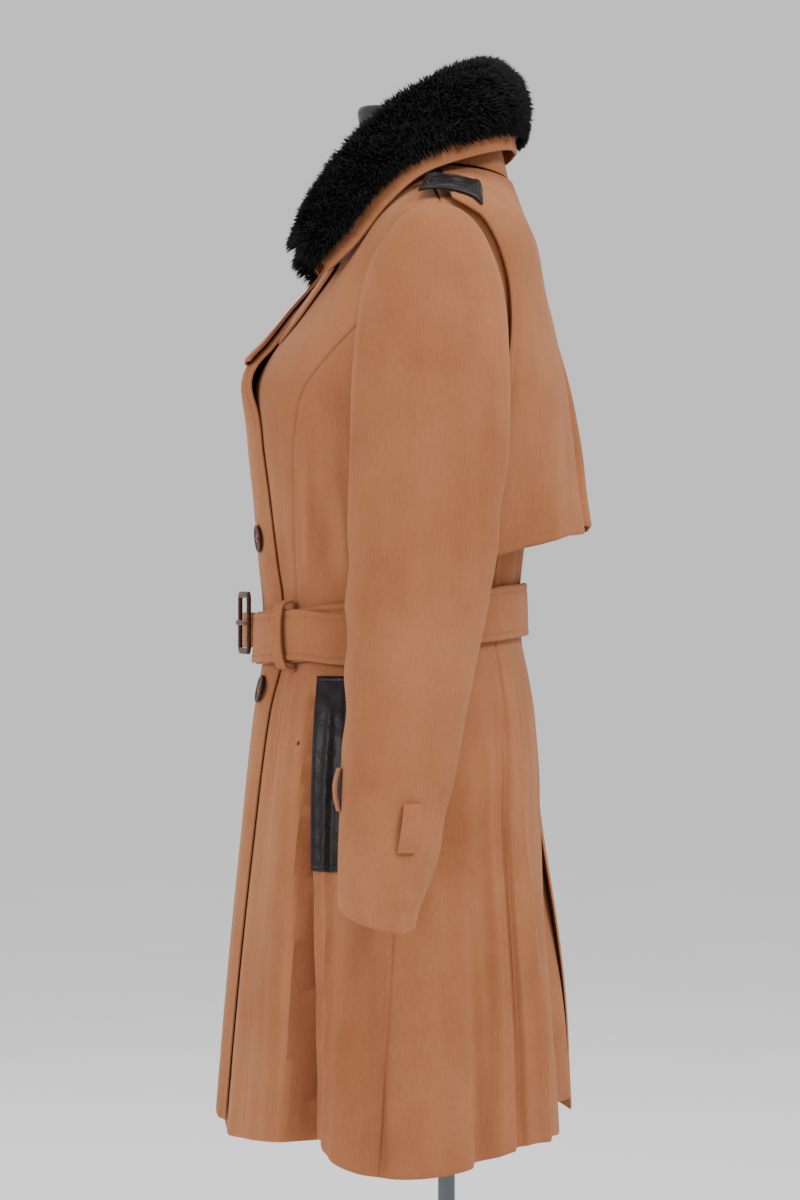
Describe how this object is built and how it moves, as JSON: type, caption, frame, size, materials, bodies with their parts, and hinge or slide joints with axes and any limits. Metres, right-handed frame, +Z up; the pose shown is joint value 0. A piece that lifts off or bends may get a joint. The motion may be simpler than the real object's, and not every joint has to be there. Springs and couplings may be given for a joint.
{
  "type": "wool coat on a dress form",
  "caption": "Belted camel wool trench coat with a black faux fur collar, leather shoulder straps and pocket welts and an open back vent, on a padded dress form with a pole stand",
  "frame": {"origin": "on the floor, on the axis of the stand's pole", "axes": "+Z up, the coat's front faces -Y, the wearer's left is +X"},
  "size_m": [0.649, 0.3885, 1.5006],
  "materials": {
    "camel_wool": "brushed wool coating",
    "black_faux_fur": "short dense plush pile",
    "black_leather": "soft, slightly crumpled",
    "dark_horn": "polished dark brown",
    "form_cover": "black jersey",
    "grey_steel": "grey satin"
  },
  "bodies": {
    "root": {"front_left": "camel_wool", "front_right": "camel_wool", "side_front_left": "camel_wool", "side_front_right": "camel_wool", "side_back_left": "camel_wool", "side_back_right": "camel_wool", "back_left": "camel_wool", "back_right": "camel_wool", "top_sleeve_left": "camel_wool", "top_sleeve_right": "camel_wool", "under_sleeve_left": "camel_wool", "under_sleeve_right": "camel_wool", "lapel_left": "camel_wool", "lapel_right": "camel_wool", "collar": "camel_wool", "storm_flap": "camel_wool", "belt": "camel_wool", "belt_tail": "camel_wool", "belt_loop_left": "camel_wool", "belt_loop_right": "camel_wool", "cuff_loop_outer_left": "camel_wool", "cuff_loop_front_left": "camel_wool", "cuff_loop_outer_right": "camel_wool", "cuff_loop_front_right": "camel_wool", "vent_underlay": "camel_wool", "fur_collar": "black_faux_fur", "pocket_welt_left": "black_leather", "pocket_welt_right": "black_leather", "shoulder_strap_left": "black_leather", "shoulder_strap_right": "black_leather", "buckle_frame": "dark_horn", "buckle_prong": "dark_horn", "button_upper_left": "dark_horn", "button_upper_right": "dark_horn", "button_lower_left": "dark_horn", "button_lower_right": "dark_horn", "dress_form": "form_cover", "stand_pole": "grey_steel", "stand_base": "grey_steel"}
  },
  "joints": []
}
